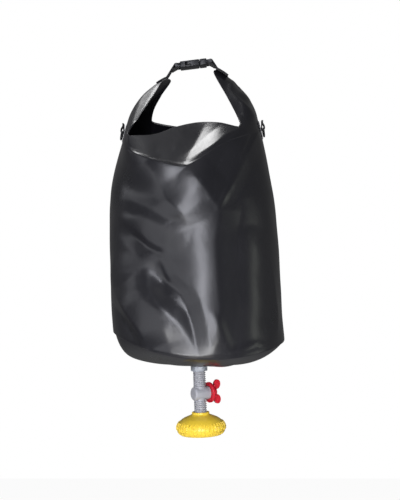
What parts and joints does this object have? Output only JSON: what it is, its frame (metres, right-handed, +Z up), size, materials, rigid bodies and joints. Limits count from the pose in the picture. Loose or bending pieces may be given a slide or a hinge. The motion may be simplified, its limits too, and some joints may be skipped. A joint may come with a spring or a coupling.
{
  "type": "dry bag with shower",
  "caption": "Black roll-top dry bag hanging by its closed buckle, with a stop valve, red wing handle and yellow shower head under its base.",
  "frame": {"origin": "on the flat underside of the buckle's socket half, where a branch or hook bears when the bag hangs by its closed buckle", "axes": "+Z up as the bag hangs, +X to the right along the webbing as seen from the front, +Y to the back"},
  "size_m": [0.2567, 0.2512, 0.551],
  "materials": {
    "black_pvc": "semi-gloss PVC-coated fabric",
    "black_webbing": "woven webbing",
    "white_plastic": "plain",
    "black_acetal": "satin",
    "black_rubber": "matt",
    "grey_plastic": "satin",
    "grey_nut": "satin",
    "red_plastic": "satin",
    "yellow_plastic": "satin",
    "steel": "plain"
  },
  "bodies": {
    "bag": {"bag_wall": "black_pvc", "base_disc": "black_pvc", "lip_band_front": "black_pvc", "lip_band_back": "black_pvc", "strap_left": "black_webbing", "buckle_female": "black_acetal", "side_patch_left": "black_pvc", "side_patch_right": "black_pvc", "tab_loop_left": "black_webbing", "tab_loop_right": "black_webbing", "inner_nut": "grey_nut", "inner_gasket": "black_rubber", "outer_gasket": "black_rubber", "lock_nut": "grey_nut", "valve_body": "grey_plastic"},
    "buckle_plug": {"buckle_male": "black_acetal", "strap_right": "black_webbing"},
    "prong_front": {"buckle_prong_front": "black_acetal"},
    "prong_back": {"buckle_prong_back": "black_acetal"},
    "valve_core": {"valve_plug": "white_plastic", "o_ring_inner": "black_rubber", "o_ring_outer": "black_rubber", "valve_handle": "red_plastic", "handle_screw": "steel"},
    "head_seal": {"head_washer": "black_rubber"},
    "head": {"shower_head": "yellow_plastic", "rose_plate": "yellow_plastic"},
    "ring_left": {"d_ring_left": "black_acetal"},
    "ring_right": {"d_ring_right": "black_acetal"}
  },
  "joints": [
    {"name": "buckle_pull", "type": "slide", "parent": "bag", "child": "buckle_plug", "axis": [0.9925, 0, 0.1219], "range_m": [0, 0.0022]},
    {"name": "prong_front_squeeze", "type": "hinge", "parent": "buckle_plug", "child": "prong_front", "pos_m": [0.00719, -0.0112, 0.00542], "axis": [0.1219, 0, -0.9925], "range_deg": [0, 11], "stiffness_Nm_per_rad": 0.02},
    {"name": "prong_back_squeeze", "type": "hinge", "parent": "buckle_plug", "child": "prong_back", "pos_m": [0.00719, 0.0112, 0.00542], "axis": [-0.1219, 0, 0.9925], "range_deg": [0, 11], "stiffness_Nm_per_rad": 0.02},
    {"name": "valve_turn", "type": "hinge", "parent": "bag", "child": "valve_core", "pos_m": [0.008, 0, -0.47897], "axis": [0.8655, 0.5, 0.0302], "range_deg": [0, 90]},
    {"name": "head_travel", "type": "slide", "parent": "bag", "child": "head_seal", "axis": [0.0349, 0, -0.9994], "range_m": [0, 0.0099]},
    {"name": "head_turn", "type": "hinge", "parent": "head_seal", "child": "head", "pos_m": [0.00894, 0, -0.50596], "axis": [0.0349, 0, -0.9994], "range_deg": [0, 1188]},
    {"name": "ring_left_swing", "type": "hinge", "parent": "bag", "child": "ring_left", "pos_m": [-0.10577, -0.00025, -0.09489], "axis": [0, 1, 0], "range_deg": [0, 120]},
    {"name": "ring_right_swing", "type": "hinge", "parent": "bag", "child": "ring_right", "pos_m": [0.10068, -0.00013, -0.0903], "axis": [0, -1, 0], "range_deg": [0, 120]}
  ],
  "couplings": [
    {"joint": "prong_front_squeeze", "follows": "buckle_pull", "rad_per_m": 87.2},
    {"joint": "prong_back_squeeze", "follows": "buckle_pull", "rad_per_m": 87.2},
    {"joint": "head_travel", "follows": "head_turn", "m_per_rad": 0.0004774}
  ]
}
